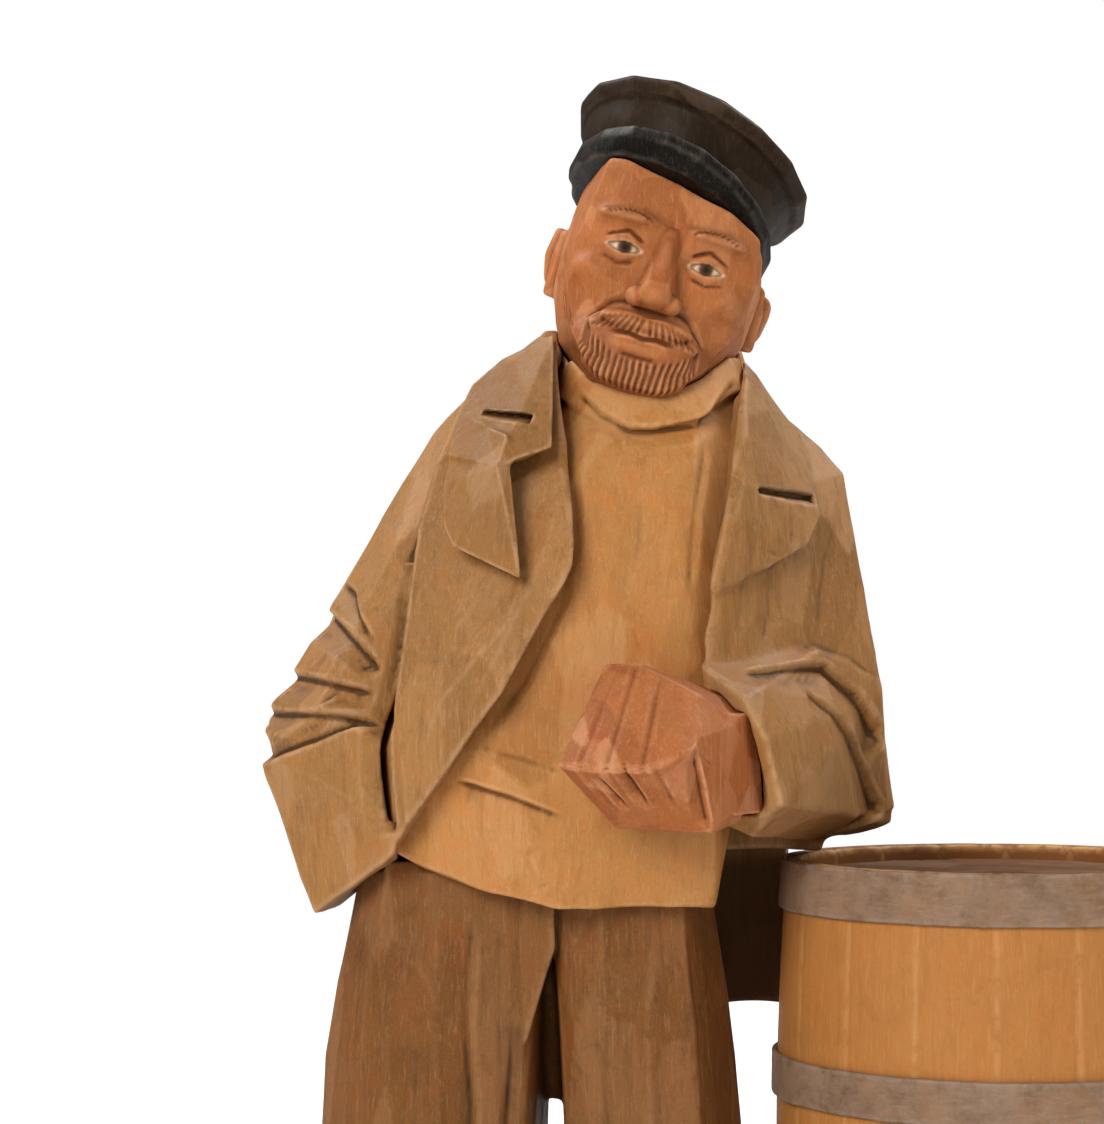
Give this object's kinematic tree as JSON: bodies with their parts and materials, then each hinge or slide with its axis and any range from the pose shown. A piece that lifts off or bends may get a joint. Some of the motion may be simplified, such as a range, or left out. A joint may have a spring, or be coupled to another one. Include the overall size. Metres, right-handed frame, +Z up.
{
  "type": "carved wooden figurine",
  "caption": "Flat-plane carved and stained wooden figurine of a man in a cap, open jacket and roll-neck sweater beside a keg, on a felted plinth.",
  "frame": {"origin": "middle of the underside of the felt, on the surface that the figurine stands on", "axes": "+Z up, the man looks along -Y, the keg is on the +X side"},
  "size_m": [0.168, 0.094, 0.2316],
  "materials": {
    "felt": "short wool felt",
    "plinth_wood": "dark stained, satin oil",
    "shoe_paint": "black-brown paint over limewood, worn on the edges",
    "trouser_stain": "brown stain over carved limewood, satin wax",
    "sweater_stain": "golden tan stain over carved limewood, satin wax",
    "jacket_stain": "olive brown stain over carved limewood, satin wax",
    "skin_stain": "warm pinkish tan stain over carved limewood, satin wax",
    "cap_paint": "dark brown paint, worn grey on the edges",
    "cap_black": "black paint, semi-gloss, worn grey on the edges",
    "stave_wood": "orange tan stained staves, satin wax",
    "keg_head_stain": "grey-brown stain",
    "hoop_paint": "grey-brown painted hoops",
    "dowel": "raw beech dowel"
  },
  "bodies": {
    "root": {"felt_pad": "felt", "plinth": "plinth_wood", "shoe_right": "shoe_paint", "shoe_left": "shoe_paint", "trousers": "trouser_stain", "sweater": "sweater_stain", "jacket_back": "jacket_stain", "jacket_front_right": "jacket_stain", "jacket_front_left": "jacket_stain", "jacket_collar": "jacket_stain", "lapel_right": "jacket_stain", "lapel_left": "jacket_stain", "sleeve_right": "jacket_stain", "sleeve_left": "jacket_stain", "head": "skin_stain", "fist_left": "skin_stain", "cap_crown": "cap_paint", "cap_band": "cap_black", "cap_visor": "cap_black", "keg_body": "stave_wood", "keg_head": "keg_head_stain", "keg_hoop_1": "hoop_paint", "keg_hoop_2": "hoop_paint", "keg_hoop_3": "hoop_paint", "keg_hoop_4": "hoop_paint", "foot_peg_right": "dowel", "foot_peg_left": "dowel", "waist_peg": "dowel", "neck_peg": "dowel", "cap_peg": "dowel", "arm_peg_right": "dowel", "arm_peg_left": "dowel", "keg_peg": "dowel"}
  },
  "joints": []
}
